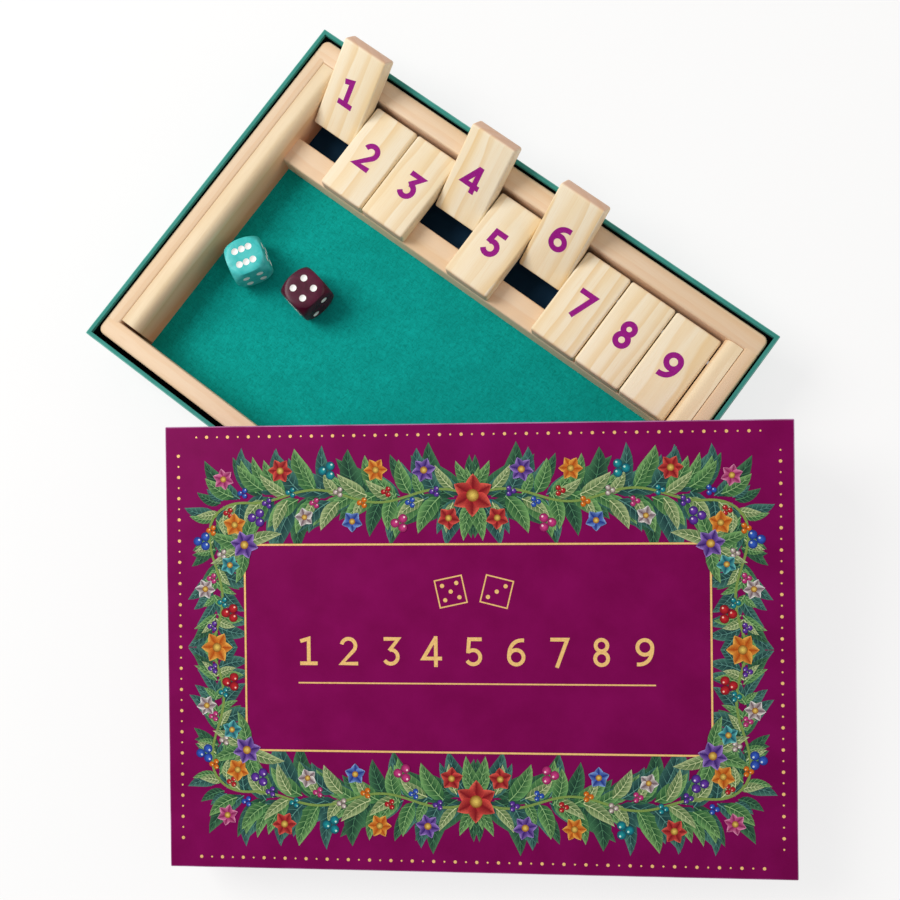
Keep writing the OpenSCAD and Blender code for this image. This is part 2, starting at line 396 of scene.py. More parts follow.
def pine(name, early, late, warm, end, ring_mm, contrast, painted_shade_below_mm=0):
    """Wood from its two ring colours, its drift and its end grain, with painted warm shade below a height.
    """
    material, tree, shader = new_material(name, early, 0.46, Specular_IOR_Level=0.35)
    grain = add(tree, "Attribute", attribute_name="grain").outputs["Vector"]
    sway = noise(tree, scaled(tree, grain, 0.018, 0.07, 0.07), 1.0, 2.0, "Color")
    sway_mm = {0: sway, 1: (0, 5, 5), 2: grain}
    bent = add(tree, "VectorMath", sway_mm, operation="MULTIPLY_ADD").outputs[0]
    across = scaled(tree, bent, 0, 1, 1)
    radius = add(tree, "VectorMath", {0: across}, operation="LENGTH").outputs["Value"]
    count = reckoned(tree, "DIVIDE", radius, ring_mm)
    phase = reckoned(tree, "FRACT", count)
    year = reckoned(tree, "FLOOR", count)
    vigour = add(tree, "TexWhiteNoise", {"W": year}, noise_dimensions="1D").outputs["Value"]
    ramp = add(tree, "ValToRGB", {"Fac": phase})
    ramp.color_ramp.interpolation = "EASE"
    for position, level in RING_STOPS:
        stop = ramp.color_ramp.elements.new(position)
        stop.color = (level, level, level, 1)
    ramp.color_ramp.elements[-1].color = (0, 0, 0, 1)
    strength = spread(tree, vigour, 0, 1, 0.25 * contrast, contrast)
    line = reckoned(tree, "MULTIPLY", ramp.outputs["Color"], strength)
    wood = blended(tree, line, srgb(early), srgb(late))
    drift = noise(tree, scaled(tree, grain, 0.02, 0.12, 0.12), 1.0, 1.0)
    wood = layered(tree, wood, warm, drift, 0.42, 0.75, 0.6)
    fibre = noise(tree, scaled(tree, grain, 0.12, 4.5, 4.5), 1.0, 3.0)
    wood = layered(tree, wood, late, fibre, 0.5, 0.8, 0.3)
    ends = add(tree, "Attribute", attribute_name="end_grain").outputs["Fac"]
    wood = layered(tree, wood, end, ends, 0, 1, 0.75)
    # Painted shade: below the given height the wood is blended towards a warm dark tone, which stands in
    # for the shade low on the cheeks' inner faces.
    if painted_shade_below_mm:
        place = add(tree, "TexCoord").outputs["Object"]
        height = add(tree, "SeparateXYZ", {0: place}).outputs["Z"]
        painted_shade_from = (painted_shade_below_mm - PAINTED_SHADE_FADE) * MM
        depth = spread(tree, height, painted_shade_from, painted_shade_below_mm * MM, 0.8, 0)
        wood = blended(tree, depth, wood, srgb(PAINTED_WARM_SHADE))
    feed(shader, "Base Color", wood)
    feed(shader, "Roughness", spread(tree, fibre, 0.3, 0.7, 0.42, 0.56))
    bumped(shader, fibre, 0.25, 0.12)
    return material


tile_pine = pine("sanded pine tiles", "#F8EBD0", "#E6BD76", "#F3D9A8", "#DBA98E", 4.3, 0.72)
tray_pine = pine("sealed pine strips", "#EAD0B2", "#DFB180", "#E9C69A", "#C6946C", 4.4, 0.45)
# The last number is the height in millimetres below which the cheeks get painted warm shade.
cheek_pine = pine("sealed pine cheeks", "#F6E3C2", "#DFBB88", "#EACFA2", "#C6946C", 5.0, 0.6, 25)
birch_ply = pine("birch plywood", "#E6CBA0", "#CFA772", "#DDBB8A", "#A87B54", 1.1, 0.4)
print("four woods ready")

# %% [markdown]
# ## The tray's frame
#
# Two long strips run the whole length of the tray and two short ones sit between
# them. Their top edges are rounded by a router, and the frame's upright corners more
# so, to slip into the box. Thick cheeks inside the left and right strips hold the rod.
# One mesh could hold the whole frame, but each piece is its own block here, because
# the fine shadow line between blocks tells the eye that the tray was glued up.

# %% Frame strips
STRIP_EDGE = 1.0
TRAY_CORNER = 3.0


def wooden(name, shape, along, node, material=tray_pine):
    """A fixed wooden piece of the tray, cut from a tree of its own."""
    add_grain(shape, along, heart(wood_chance))
    make_piece(name, shape, "game_base", material, [node])


def long_strip(name, node, outer):
    """A strip the whole length of the tray. Outer: which corner of its box has the outer y."""
    low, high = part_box(node)
    outer_y = (low, high)[outer].y
    shape = cuboid(low, high)
    soften(shape, TRAY_CORNER, 6, lambda a, b: upright(a, b) and near(a.y, outer_y))
    soften(shape, STRIP_EDGE, 4, lambda a, b: level_at(a, b, high.z))
    wooden(name, shape, X_AXIS, node)


def side_strip(name, node):
    """A strip between the long ones. Its ends fill their rounded edges, so the tops run on."""
    low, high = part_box(node)
    over = Vector((0, STRIP_EDGE * MM, 0))
    shape = cuboid(low - over, high + over)
    soften(shape, STRIP_EDGE, 4, lambda a, b: level_at(a, b, high.z) and near(a.x, b.x))
    wooden(name, shape, Y_AXIS, node)


long_strip("front_strip", "frame_front", 0)
long_strip("back_strip", "frame_back", 1)
side_strip("left_strip", "frame_left")
side_strip("right_strip", "frame_right")

# %% Cheeks, slat and plywood floor
CHEEK_EDGE = 4.0
SMALL_EDGE = 0.35
SLAT_EDGE = 0.9


def cheek(name, node, inner):
    """A cheek. Inner: which corner of its box has the inner x."""
    low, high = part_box(node)
    inner_x = (low, high)[inner].x
    rounded_from = high.z - 1.1 * CHEEK_EDGE * MM
    shape = cuboid(low, high)

    def inner_top(a, b):
        return level_at(a, b, high.z) and near(a.x, inner_x) and near(b.x, inner_x)

    soften(shape, CHEEK_EDGE, 10, inner_top)
    soften(shape, SMALL_EDGE, 2, lambda a, b: near(a.y, b.y) and min(a.z, b.z) > rounded_from)
    wooden(name, shape, Y_AXIS, node, cheek_pine)


cheek("left_cheek", "cheek_left", 1)
cheek("right_cheek", "cheek_right", 0)

slat_low, slat_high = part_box("tile_slat")
slat = cuboid(slat_low, slat_high)
soften(slat, SLAT_EDGE, 4, lambda a, b: level_at(a, b, slat_high.z) and near(a.y, b.y))
wooden("front_slat", slat, X_AXIS, "tile_slat")

ply = cuboid(*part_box("tray_floor"))
soften(ply, TRAY_CORNER, 6, upright)
wooden("tray_plywood", ply, X_AXIS, "tray_floor", birch_ply)

# %% [markdown]
# ## The tiles
#
# Nine pine tiles share one rod. A lowered tile lies flat, and a raised one has gone up
# and over and leans on the back strip. One tile is modelled round its own pivot, with
# its long end towards the players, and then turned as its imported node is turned: the
# node's largest face that looks up says by how much.

# %% Tile shape and place
TILE_EDGE = 1.1


def widest_face(node, wanted=lambda normal: normal.z > 0.1):
    """Direction of a node's largest flat face, of those that look up or are wanted."""
    areas = {}
    for face in frame["nodes"][node].data.polygons:
        key = tuple(round(c, 2) for c in face.normal)
        area, normal = areas.get(key, (0, face.normal.copy()))
        areas[key] = (area + face.area, normal)
    return max((v for v in areas.values() if wanted(v[1])), key=lambda v: v[0])[1]


tile_bodies = sorted(name for name in frame["bodies"] if name.startswith("tile_"))
lowered = next(t for t in tile_bodies if joints["flip_" + t[5:]]["range_deg"][0] >= 0)
pivot = Vector(joints["flip_" + lowered[5:]]["pos_m"])
tile_low, tile_high = [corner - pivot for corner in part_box(lowered)]
tile_width = tile_high.x - tile_low.x
tile_low.x, tile_high.x = -tile_width / 2, tile_width / 2
print("tile", [round(c / MM, 2) for c in tile_high - tile_low], "mm, lowered:", lowered)


def tile_place(tile):
    """Where a tile's own frame is at rest, and how far it has been turned over."""
    up = widest_face(tile)
    flip = joints["flip_" + tile[5:]]
    turned = -math.atan2(-up.y, -up.z) if flip["range_deg"][0] < 0 else 0
    return Matrix.Translation(flip["pos_m"]) @ Matrix.Rotation(turned, 4, "X")


for tile in tile_bodies:
    block = cuboid(tile_low, tile_high)
    soften(block, TILE_EDGE, 4)
    add_grain(block, Y_AXIS, heart(wood_chance))
    make_piece(tile + "_wood", block, tile, tile_pine, [tile], tile_place(tile))

# %% [markdown]
# ## Numbers
#
# The numbers are screen printed in violet. A text object could write them, but the
# built-in face is thin, and thickening it closes the small hole of the 4. So each digit
# is a few pen strokes in a square of cap height 1, and a stroke becomes a flat ribbon
# with mitred corners. The same pen later draws the ornaments on the lid.


# %% A pen for flat print
LEVEL_GAP = 0.004 * MM
MITRE_LIMIT = 0.5


class Print:
    """Flat shapes in millimetres, each a little above the last, with a colour at each corner."""

    def __init__(self):
        self.shape = bmesh.new()
        self.ink = self.shape.loops.layers.float_color.new("ink")

    def fill(self, points, colours, level):
        """A filled outline, in one colour or with one for each point."""
        colours = colours if isinstance(colours, list) else [colours] * len(points)
        corners = list(zip(points, colours))
        following = corners[1:] + corners[:1]
        area = sum(a[0][0] * b[0][1] - b[0][0] * a[0][1] for a, b in zip(corners, following))
        corners = [a for a, b in zip(corners, following) if math.dist(a[0], b[0]) > 0.001]
        if area < 0:
            corners.reverse()
        verts = [self.shape.verts.new((x * MM, y * MM, level * LEVEL_GAP)) for (x, y), _ in corners]
        for loop, (_, colour) in zip(self.shape.faces.new(verts).loops, corners):
            loop[self.ink] = colour

    def disc(self, x, y, radius, middle, rim, level=0, sides=12):
        """A round spot whose colour changes from its middle to its rim."""
        points = ring(x, y, radius, sides)
        for a, b in zip(points, points[1:] + points[:1]):
            self.fill([(x, y), a, b], [middle, rim, rim], level)

    def stroke(self, points, width, colour, level=0, closed=False):
        """A ribbon along points, of one width or of a width for each point."""
        count = len(points)
        widths = width if isinstance(width, list) else [width] * count
        sides = []
        for i, (x, y) in enumerate(points):
            before = points[i - 1] if i or closed else points[i]
            after = points[(i + 1) % count] if i < count - 1 or closed else points[i]
            a = Vector((x - before[0], y - before[1]))
            b = Vector((after[0] - x, after[1] - y))
            a, b = (a if a.length else b).normalized(), (b if b.length else a).normalized()
            across = Vector((-(a.y + b.y), a.x + b.x)).normalized()
            reach = widths[i] / 2 / max(across.dot(Vector((-a.y, a.x))), MITRE_LIMIT)
            sides.append((across * reach, Vector((x, y))))
        for i in range(count if closed else count - 1):
            (s, p), (t, q) = sides[i], sides[(i + 1) % count]
            self.fill([tuple(p + s), tuple(p - s), tuple(q - t), tuple(q + t)], colour, level)


def arc(x, y, radius, start, stop, steps=14):
    """Points on part of a circle, with angles in degrees."""
    turns = [math.radians(start + (stop - start) * i / steps) for i in range(steps + 1)]
    return [(x + radius * math.cos(t), y + radius * math.sin(t)) for t in turns]


def ring(x, y, radius, steps=28):
    return arc(x, y, radius, 0, 360, steps)[:-1]


# %% Strokes of the nine digits
PEN = 0.19
HALF_PEN = PEN / 2
TOP_LINE = 1 - HALF_PEN
BOWL = (0.30, 0.325, 0.23)
STEM = interpolate_bezier((0.09, 0.33), (0.09, 0.70), (0.27, TOP_LINE), (0.58, TOP_LINE - 0.03), 15)
SIX = [("closed", ring(0.325, 0.33, 0.235)), ("open", STEM)]
DIGITS = {
    1: [
        ("open", [(0.09, 0.82), (0.37, TOP_LINE), (0.37, HALF_PEN)]),
        ("open", [(0.08, HALF_PEN), (0.66, HALF_PEN)]),
    ],
    2: [("open", arc(0.32, 0.675, 0.23, 168, -42) + [(0.09, HALF_PEN), (0.63, HALF_PEN)])],
    3: [("open", [(0.07, TOP_LINE), (0.55, TOP_LINE), (0.25, 0.52)]), ("open", arc(*BOWL, 96, -150))],
    4: [("open", [(0.52, 0), (0.52, 1)]), ("open", [(0.505, 0.93), (0.11, 0.275), (0.72, 0.275)])],
    5: [("open", [(0.58, TOP_LINE), (0.17, TOP_LINE), (0.135, 0.455)]), ("open", arc(*BOWL, 128, -150))],
    6: SIX,
    7: [("open", [(0.03, TOP_LINE), (0.57, TOP_LINE), (0.23, 0)])],
    8: [("closed", ring(0.31, 0.72, 0.185)), ("closed", ring(0.31, 0.30, 0.205))],
    9: [(kind, [(0.65 - x, 1 - y) for x, y in points]) for kind, points in SIX],
}


def write_digit(sheet, digit, x, y, height, colour, pen=PEN):
    """Draws one digit round its own middle at x, y."""
    xs = [p[0] for _, points in DIGITS[digit] for p in points]
    middle = (min(xs) + max(xs)) / 2
    for i, (kind, points) in enumerate(DIGITS[digit]):
        path = [(x + (px - middle) * height, y + (py - 0.5) * height) for px, py in points]
        sheet.stroke(path, pen * height, colour, i, closed=kind == "closed")


print("digits drawn with", sum(len(strokes) for strokes in DIGITS.values()), "strokes")

# %% [markdown]
# The violet ink is a matt screen-printing ink. It lies on the wood as a thin film that
# follows the fibres, so it is a touch uneven. Both broad faces carry the number: one
# shows when the tile lies flat, the other when it is flipped.

# %% Numbers on the tiles
NUMBER_HEIGHT = 12.2
INK_FILM = 0.02 * MM


def violet_ink():
    material, tree, shader = new_material("violet screen ink", "#8F157D", 0.6, Specular_IOR_Level=0.15)
    speck = noise(tree, place_mm(tree), 1.6, 3.0)
    tone = layered(tree, srgb("#93107F"), "#AC2698", speck, 0.4, 0.75, 0.5)
    feed(shader, "Base Color", tone)
    bumped(shader, speck, 0.1, 0.05)
    return material


def doubled(shape):
    """Adds a copy of all there is, and returns the copy's corners and faces."""
    twins = bmesh.ops.duplicate(shape, geom=shape.faces[:])["geom"]
    corners = [g for g in twins if isinstance(g, bmesh.types.BMVert)]
    return corners, [g for g in twins if isinstance(g, bmesh.types.BMFace)]


number_ink = violet_ink()
to_middle = Matrix.Translation((0, (tile_low.y + tile_high.y) / 2, 0))
half_turn = Matrix.Rotation(math.pi, 4, "X")
for tile in tile_bodies:
    digit = Print()
    write_digit(digit, int(tile[5:]), 0, 0, NUMBER_HEIGHT, PURE_WHITE)
    bmesh.ops.translate(digit.shape, vec=(0, 0, tile_high.z + INK_FILM), verts=digit.shape.verts)
    bmesh.ops.transform(digit.shape, matrix=half_turn, verts=doubled(digit.shape)[0])
    make_piece(tile + "_numbers", digit.shape, tile, number_ink, place=tile_place(tile) @ to_middle)

# %% [markdown]
# ## The rod
#
# A plain steel rod runs through all nine tiles and into the cheeks. Almost none of it
# shows, only a glint where the tiles part. A cylinder with rounded ends is enough,
# and its finish is cold-drawn steel with faint lines along it.


# %% Steel rod
def drawn_steel():
    material, tree, shader = new_material("cold-drawn steel", "#B4B6B9", 0.3, Metallic=1.0)
    lines = noise(tree, scaled(tree, place_mm(tree), 0.06, 4, 4), 1.0, 2.0)
    feed(shader, "Roughness", spread(tree, lines, 0.3, 0.7, 0.24, 0.4))
    bumped(shader, lines, 0.1, 0.02)
    return material


rod_low, rod_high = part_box("tile_rod")
rod_size = rod_high - rod_low
radii = {"radius1": rod_size.z / 2, "radius2": rod_size.z / 2}
lying = Matrix.Translation((rod_low + rod_high) / 2) @ Matrix.Rotation(math.pi / 2, 4, "Y")
rod = bmesh.new()
bmesh.ops.create_cone(rod, cap_ends=True, segments=32, depth=rod_size.x, matrix=lying, **radii)
make_piece("steel_rod", rod, "game_base", drawn_steel(), ["tile_rod"])

# %% [markdown]
# ## Dice
#
# A moulded die is a cube cut by a ball, so its faces are round-cornered and its edges
# are soft. Bevelling a cube would give the same radius everywhere. Instead each point
# of a finely divided cube is pulled in to a smooth mix of the cube and the ball. The
# pips are shallow bowls cut by balls, which also carry the white paint into the cut.

# %% Die body
DIE_BALL = 11.1 * MM
EDGE_SOFTNESS = 26
DIE_CUTS = 40
PIP_RADIUS = 1.45
PIP_DEPTH = 0.45
PIP_PITCH = 3.0
PIP_BALL = (PIP_RADIUS**2 + PIP_DEPTH**2) / (2 * PIP_DEPTH)
TURNS = [(0, 0, 0), (90, 0, 0), (90, 0, 90), (90, 0, 180), (90, 0, 270), (180, 0, 0)]


def die_body(size):
    """Cube cut by a ball, with a soft change from one to the other."""
    shape = bmesh.new()
    bmesh.ops.create_cube(shape, size=size)
    bmesh.ops.subdivide_edges(shape, edges=shape.edges[:], cuts=DIE_CUTS, use_grid_fill=True)
    for vert in shape.verts:
        in_cube = max(abs(c) for c in vert.co) / (size / 2)
        in_ball = vert.co.length / DIE_BALL
        vert.co /= (in_cube**EDGE_SOFTNESS + in_ball**EDGE_SOFTNESS) ** (1 / EDGE_SOFTNESS)
    return shape


def pip_places(number):
    """Middles of a face's pips, in steps from the middle of the face."""
    places = [(0, 0)] if number % 2 else []
    places += [(-1, -1), (1, 1)] if number > 1 else []
    places += [(-1, 1), (1, -1)] if number > 3 else []
    places += [(0, -1), (0, 1)] if number == 6 else []
    return places


def pip_cutter(size, faces):
    """Balls that cut the pips of all six faces. Faces: top, front, right, back, left, bottom."""
    shape = bmesh.new()
    ball = PIP_BALL * MM
    height = size / 2 - PIP_DEPTH * MM + ball
    for turn, number in zip(TURNS, faces):
        facing = Euler([math.radians(a) for a in turn]).to_matrix().to_4x4()
        for x, y in pip_places(number):
            at = Matrix.Translation((x * PIP_PITCH * MM, y * PIP_PITCH * MM, height))
            bmesh.ops.create_uvsphere(shape, u_segments=40, v_segments=28, radius=ball, matrix=facing @ at)
    return shape


print("pip ball", round(PIP_BALL, 2), "mm in radius")

# %% [markdown]
# Both dice are cast acrylic with a pearly swirl, polished in a tumbler: the teal one is
# milky and lets a little light in, and the plum one is nearly black in its shade, with
# fine pearl flakes. The pips are filled with white enamel.


# %% Acrylic and enamel
def pearl_acrylic(name, deep, bright, glow, depth_mm):
    material, tree, shader = new_material(name, deep, 0.27, IOR=1.49, Specular_IOR_Level=0.2)
    place = place_mm(tree)
    swirl = noise(tree, place, 0.16, 4.0, Distortion=1.2)
    tone = layered(tree, srgb(deep), bright, swirl, 0.36, 0.68)
    flakes = add(tree, "TexVoronoi", {"Vector": place, "Scale": 2.6}).outputs["Distance"]
    tone = layered(tree, tone, glow, flakes, 0.28, 0.05, 0.22)
    feed(shader, "Base Color", tone)
    shader.inputs["Subsurface Weight"].default_value = 0.15
    shader.inputs["Subsurface Radius"].default_value = [depth_mm * MM] * 3
    shader.inputs["Subsurface Scale"].default_value = 1.0
    return material


def enamel():
    material, tree, shader = new_material("white pip enamel", "#F5F7F5", 0.35)
    bumped(shader, noise(tree, place_mm(tree), 2.0, 2.0), 0.08, 0.05)
    return material


teal_acrylic = pearl_acrylic("teal pearl acrylic", "#3ABEBD", "#59D2D1", "#8CE7E6", 1.2)
plum_acrylic = pearl_acrylic("plum pearl acrylic", "#430722", "#551030", "#70304A", 0.6)
pip_enamel = enamel()
print("acrylics ready")

# %% Two dice
DIE_CREASE = math.radians(25)


def make_die(name, node, material, turn, faces):
    low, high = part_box(node)
    size = high.z - low.z
    place = Matrix.Translation((low + high) / 2) @ Matrix.Rotation(math.radians(turn), 4, "Z")
    balls = pip_cutter(size, faces)
    bmesh.ops.transform(balls, matrix=place, verts=balls.verts)
    cutter = placed("pip_cutter", balls, pip_enamel)
    die = make_piece(name, die_body(size), node, material, [node], place)
    cut = die.modifiers.new("pips", "BOOLEAN")
    cut.operation = "DIFFERENCE"
    cut.object = cutter
    cut.solver = "EXACT"
    cut.material_mode = "TRANSFER"
    bpy.context.view_layer.update()
    depsgraph = bpy.context.evaluated_depsgraph_get()
    carved = bpy.data.meshes.new_from_object(die.evaluated_get(depsgraph))
    die.modifiers.clear()
    die.data = carved
    bpy.data.objects.remove(cutter)
    smoothed(carved, DIE_CREASE)
    print(name, len(carved.polygons), "faces,", len(carved.materials), "materials")


make_die("teal_die", "die_teal", teal_acrylic, turn=58.6, faces=(6, 4, 5, 3, 2, 1))
make_die("plum_die", "die_plum", plum_acrylic, turn=-10.1, faces=(4, 6, 2, 1, 5, 3))

# %% [markdown]
# ## Felt
#
# The well is lined with pressed felt, cut with a knife and glued to the plywood. It has
# no weave. Short fibres lie every way, so the colour is mottled in strokes of one or
# two millimetres. A flat face would look printed, so the sheet's top is a fine grid
# that rises and falls by a few hundredths of a millimetre.

# %% Felt sheet
FELT_GRID = 2.0
FELT_RELIEF = 0.07


def wool_felt():
    material, tree, shader = new_material("teal wool felt", "#12998C", 0.95, Specular_IOR_Level=0.1)
    place = place_mm(tree)
    warp_mm = {0: noise(tree, place, 0.35, 2.0, "Color"), 1: (3, 3, 0), 2: place}
    bent = add(tree, "VectorMath", warp_mm, operation="MULTIPLY_ADD").outputs[0]
    along_x = noise(tree, scaled(tree, bent, 0.5, 2.6, 1), 0.9, 4.0, Roughness=0.7)
    along_y = noise(tree, scaled(tree, bent, 2.6, 0.5, 1), 0.9, 4.0, Roughness=0.7)
    fibres = reckoned(tree, "ADD", along_x, along_y)
    cloud = noise(tree, place, 0.09, 3.0)
    tone = layered(tree, srgb("#028A80"), "#0DB4AC", fibres, 0.75, 1.25)
    tone = layered(tree, tone, "#03877E", cloud, 0.35, 0.7, 0.35)
    feed(shader, "Base Color", tone)
    shader.inputs["Sheen Weight"].default_value = 0.06
    shader.inputs["Sheen Roughness"].default_value = 0.5
    shader.inputs["Sheen Tint"].default_value = srgb("#7FD8CE")
    bumped(shader, fibres, 0.5, 0.35)
    return material


felt_low, felt_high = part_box("felt_pad")
felt_size = felt_high - felt_low
felt = cuboid(felt_low, felt_high)
for axis in (0, 1):
    across = [e for e in felt.edges if not near(e.verts[0].co[axis], e.verts[1].co[axis])]
    cuts = int(felt_size[axis] / MM / FELT_GRID)
    bmesh.ops.subdivide_edges(felt, edges=across, cuts=cuts, use_grid_fill=True)
lint = random.Random(5)
for vert in felt.verts:
    if near(vert.co.z, felt_high.z) and felt_low.x < vert.co.x - MM and vert.co.x + MM < felt_high.x:
        vert.co.z -= lint.random() * FELT_RELIEF * MM
felt_piece = make_piece("felt_sheet", felt, "game_base", wool_felt(), ["felt_pad"])

# %% [markdown]
# ## Papers and board
#
# A set-up box is grey board wrapped in printed paper, which is turned over the rim and
# a little way down inside, and lined with plain black paper. The wrap could be paint
# on the board's solid. Modelled as its own thin folded sheet it shows its edge where
# the lining stops, and its corners are as round as folded paper is.


# %% Paper and board materials
def wrap_paper(name, colour, pale, wear_and_highlight_tone, roughness, cloud_mm, emboss):
    """Printed paper: uneven ink, a fine tooth that dulls the gloss, and lighter folds, partly rubbed wear
    and partly painted highlight.
    """
    material, tree, shader = new_material(name, colour, roughness, Specular_IOR_Level=0.04)
    place = place_mm(tree)
    cloud = noise(tree, place, 1 / cloud_mm, 4.0)
    tooth = noise(tree, place, 3.2, 3.0)
    tone = layered(tree, srgb(colour), pale, cloud, 0.35, 0.72, 0.6)
    tone = layered(tree, tone, pale, tooth, 0.45, 0.8, 0.22)
    # The folds are lightened: partly rubbed wear, partly a painted highlight along the rounded rim.
    fold = add(tree, "Attribute", attribute_name="fold").outputs["Fac"]
    wear_and_highlight = reckoned(tree, "MULTIPLY", fold, spread(tree, cloud, 0.3, 0.6, 0.35, 0.9))
    tone = blended(tree, wear_and_highlight, tone, srgb(wear_and_highlight_tone))
    feed(shader, "Base Color", tone)
    dulled = spread(tree, tooth, 0.3, 0.7, roughness - 0.05, roughness + 0.07)
    feed(shader, "Roughness", dulled)
    bumped(shader, tooth, emboss, 0.05)
    return material


# The fourth colour of each paper lightens its folds, as wear and painted highlight.
teal_paper = wrap_paper("teal wrapping paper", "#3C8D83", "#4B9D93", "#86C3BA", 0.6, 9, 0.15)
plum_paper = wrap_paper("plum printed paper", "#79064F", "#8B0D60", "#BC86B4", 0.5, 14, 0.12)
black_paper = wrap_paper("black lining paper", "#0B0C0F", "#121317", "#202226", 0.8, 6, 0.2)
pit_paper = wrap_paper("dark navy paper", "#183149", "#1D3B53", "#234660", 0.85, 6, 0.2)
grey_board = wrap_paper("grey board", "#8C857B", "#A09A90", "#A09A90", 0.9, 2, 0.4)
print("papers ready")

# %% Folded wrap and lining
FOLD = 0.4
PAPER = 0.25
SHEET = 0.2
LINING_DROP = 1.8
PAPER_EDGE = 0.05


def hollowed(low, high, wall, depth):
    """A block with a square hole sunk from its top, and the hole's bottom face."""
    shape = cuboid(low, high)
    top = max(shape.faces, key=lambda f: f.calc_center_median().z)
    bmesh.ops.inset_individual(shape, faces=[top], thickness=wall, use_even_offset=True)
    inside = bmesh.ops.extrude_discrete_faces(shape, faces=[top])["faces"][0]
    bmesh.ops.translate(shape, vec=(0, 0, -depth), verts=inside.verts)
    return shape, inside


def wrap(low, high, rim, turn_in):
    """A thin sheet round an open box, folded over its rim and down inside, with its folds marked for wear
    and painted highlight.
    """
    shape, inside = hollowed(low, high, rim + SHEET * MM, turn_in)
    bmesh.ops.delete(shape, geom=[inside], context="FACES_ONLY")

    def outside(p):
        return near(p.x, low.x) or near(p.x, high.x) or near(p.y, low.y) or near(p.y, high.y)

    soften(shape, FOLD, 3, lambda a, b: outside(a) and outside(b))
    # Marks the rounded fold faces, which the paper lightens as wear and painted highlight.
    fold = shape.faces.layers.float.new("fold")
    shape.normal_update()
    for face in shape.faces:
        face[fold] = float(max(abs(c) for c in face.normal) < 0.999)
    bmesh.ops.solidify(shape, geom=shape.faces[:], thickness=SHEET * MM)
    return shape


def lining(low, high):
    """A thin tray of paper, open upwards, that stops short of the rim."""
    edge = Vector((high.x, high.y, high.z - LINING_DROP * MM))
    return hollowed(low, edge, PAPER * MM, edge.z - low.z - PAPER * MM)[0]


wrap_low, wrap_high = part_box("base_wrap")
lining_low, lining_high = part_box("base_liner")
rim_width = lining_low.x - wrap_low.x
turned_in = (wrap_high.z - wrap_low.z) / 2
base_cover = wrap(wrap_low, wrap_high, rim_width, turned_in)
base_lining = lining(lining_low, lining_high)
pit_sheet = soften(cuboid(*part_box("pit_paper")), PAPER_EDGE, 1)
make_piece("base_cover", base_cover, "game_base", teal_paper, ["base_wrap"])
make_piece("base_lining", base_lining, "game_base", black_paper, ["base_liner"])
make_piece("pit_lining", pit_sheet, "game_base", pit_paper, ["pit_paper"])
for node in ("base_board", "lid_board"):
    board = frame["nodes"][node].data
    board.materials.clear()
    board.materials.append(grey_board)

# %% [markdown]
# ## The lid
#
# The lid is the same set-up box upside down, in plum paper, tilted, with one wall on
# the table and the opposite one on the box's rims. It could be built where it lies, but
# it is simpler square and level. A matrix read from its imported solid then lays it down:
# the widest face up gives its top, and the widest wall its long side.


# %% Where the lid lies
def lid_frame(node):
    """Matrix from the level lid, its rim down at zero, to the laid one, and the lid's size."""
    top = widest_face(node)
    far = widest_face(node, lambda normal: abs(normal.dot(top)) < 0.01 and normal.z > 0.01)
    turn = Matrix((far.cross(top), far, top)).transposed()
    local = [turn.transposed() @ v.co for v in frame["nodes"][node].data.vertices]
    low = Vector([min(p[i] for p in local) for i in range(3)])
    high = Vector([max(p[i] for p in local) for i in range(3)])
    base = Vector(((low.x + high.x) / 2, (low.y + high.y) / 2, low.z))
    return Matrix.Translation(turn @ base) @ turn.to_4x4(), high - low


lid_place, lid_size = lid_frame("lid_wrap")
_, inner_size = lid_frame("lid_liner")
up_by = Vector((0, 0, lid_size.z))
upside_down = lid_place @ Matrix.Translation(up_by) @ half_turn
lid_half, inner_half = (size * Vector((0.5, 0.5, 0)) for size in (lid_size, inner_size))
lid_cover = wrap(-lid_half, lid_half + up_by, (lid_size.x - inner_size.x) / 2, lid_size.z / 2)
lid_floor = Vector((0, 0, lid_size.z - inner_size.z))
lid_lining = lining(lid_floor - inner_half, inner_half + up_by)
make_piece("lid_cover", lid_cover, "lid", plum_paper, ["lid_wrap"], upside_down)
make_piece("lid_lining", lid_lining, "lid", black_paper, ["lid_liner"], upside_down)
print("lid", [round(c / MM, 1) for c in lid_size], "mm")

# %% [markdown]
# ## The print on the lid
#
# The lid carries a broad border of leaves round a gold-lined panel. An image texture
# would blur when the view comes close. So the border is drawn with the same pen as the
# numbers, in flat shapes stacked a few thousandths of a millimetre apart. A leaf is two
# rows of quads whose colour runs from the midrib to the edge. One quarter is drawn,
# trimmed at the panel and at its two mirror lines, and mirrored twice.

# %% Leaves, blossoms and berries
LEAF_STEPS = 7
MIDRIB = 0.42
MIDRIB_TAPER = 0.34
VEIN = [0.2, 0.08]
WHITE = srgb("#FFF8E8")


def between(first, second, share):
    return tuple(a + (b - a) * share for a, b in zip(first, second))


def leaf_lines(x, y, heading, length, width, bend):
    """Points down a leaf's midrib and along its two edges."""
    middle, left, right = [], [], []
    for i in range(LEAF_STEPS + 1):
        t = i / LEAF_STEPS
        turn = heading + bend * (t - 0.5)
        half = width / 2 * math.sin(math.pi * t**0.75) ** 0.9
        middle.append((x, y))
        left.append((x - half * math.sin(turn), y + half * math.cos(turn)))
        right.append((x + half * math.sin(turn), y - half * math.cos(turn)))
        x += length / LEAF_STEPS * math.cos(turn)
        y += length / LEAF_STEPS * math.sin(turn)
    return middle, left, right


